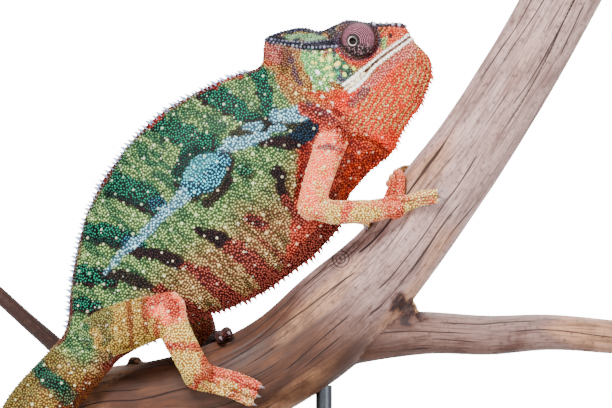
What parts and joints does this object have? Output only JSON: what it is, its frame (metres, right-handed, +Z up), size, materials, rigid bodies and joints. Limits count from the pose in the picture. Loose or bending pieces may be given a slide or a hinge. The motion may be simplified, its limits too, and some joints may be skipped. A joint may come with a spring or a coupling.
{
  "type": "panther chameleon display model",
  "caption": "Still, life-size panther chameleon gripping a short forked branch, held on a flat stand by two rods.",
  "frame": {"origin": "centre of the stand base's underside, on the floor", "axes": "+Z up; +X the way the head faces, to the right in the picture; the animal's right flank faces -Y, towards the camera"},
  "size_m": [0.2757, 0.12, 0.2697],
  "materials": {
    "head_skin": "matt painted skin, orange and green",
    "body_skin": "matt painted skin, green with bars and a pale stripe",
    "tail_skin": "matt painted skin, yellow-green with bands",
    "limb_skin": "matt painted skin, orange and yellow",
    "turret_skin": "satin painted granules, maroon",
    "eyeball": "gloss",
    "claw": "satin horn",
    "branch_wood": "bare weathered wood",
    "stand_base": "satin black lacquer",
    "stand_rod": "satin black"
  },
  "bodies": {
    "root": {"head": "head_skin", "neck": "body_skin", "torso": "body_skin", "tail_length_1": "tail_skin", "tail_length_2": "tail_skin", "tail_length_3": "tail_skin", "tail_length_4": "tail_skin", "tail_length_5": "tail_skin", "tail_length_6": "tail_skin", "eye_turret_right": "turret_skin", "eyeball_right": "eyeball", "foreleg_upper_right": "limb_skin", "foreleg_lower_right": "limb_skin", "forefoot_right": "limb_skin", "hindleg_upper_right": "limb_skin", "hindleg_lower_right": "limb_skin", "hindfoot_right": "limb_skin", "eye_turret_left": "turret_skin", "eyeball_left": "eyeball", "foreleg_upper_left": "limb_skin", "foreleg_lower_left": "limb_skin", "forefoot_left": "limb_skin", "hindleg_upper_left": "limb_skin", "hindleg_lower_left": "limb_skin", "hindfoot_left": "limb_skin", "perch_stem": "branch_wood", "perch_side_branch": "branch_wood", "perch_twig": "branch_wood", "stand_base": "stand_base", "stand_rod_rear": "stand_rod", "stand_rod_front": "stand_rod"}
  },
  "joints": []
}
